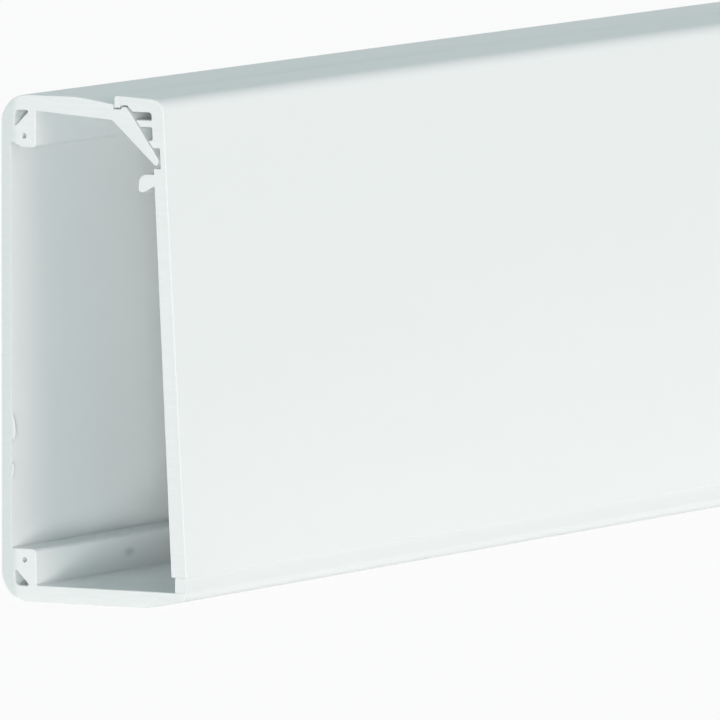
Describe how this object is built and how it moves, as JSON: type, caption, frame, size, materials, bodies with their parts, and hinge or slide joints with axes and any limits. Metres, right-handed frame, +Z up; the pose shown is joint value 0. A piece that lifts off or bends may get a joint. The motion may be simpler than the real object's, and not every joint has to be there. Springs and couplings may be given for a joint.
{
  "type": "cord cover raceway",
  "caption": "Wall raceway for cords: a straight PVC channel with a flat back and a hinged front cover that latches along the top.",
  "frame": {"origin": "centre of the length and depth, at the level of the flat underside", "axes": "+X along the length, +Y out of the flat back towards the wall, +Z up from the hinge side to the latch side; the cover faces -Y"},
  "size_m": [1.829, 0.025, 0.0603],
  "materials": {
    "rigid_pvc": "extruded, low sheen",
    "flexible_pvc": "soft, low sheen",
    "rigid_pvc_cover": "extruded, satin"
  },
  "bodies": {
    "channel": {"base_channel": "rigid_pvc", "hinge_strip": "flexible_pvc"},
    "cover": {"cover": "rigid_pvc_cover"}
  },
  "joints": [
    {"name": "cover_hinge", "type": "hinge", "parent": "channel", "child": "cover", "pos_m": [0, -0.0119, 0.00285], "axis": [1, 0, 0], "range_deg": [0, 105], "deforming": ["hinge_strip"]}
  ]
}
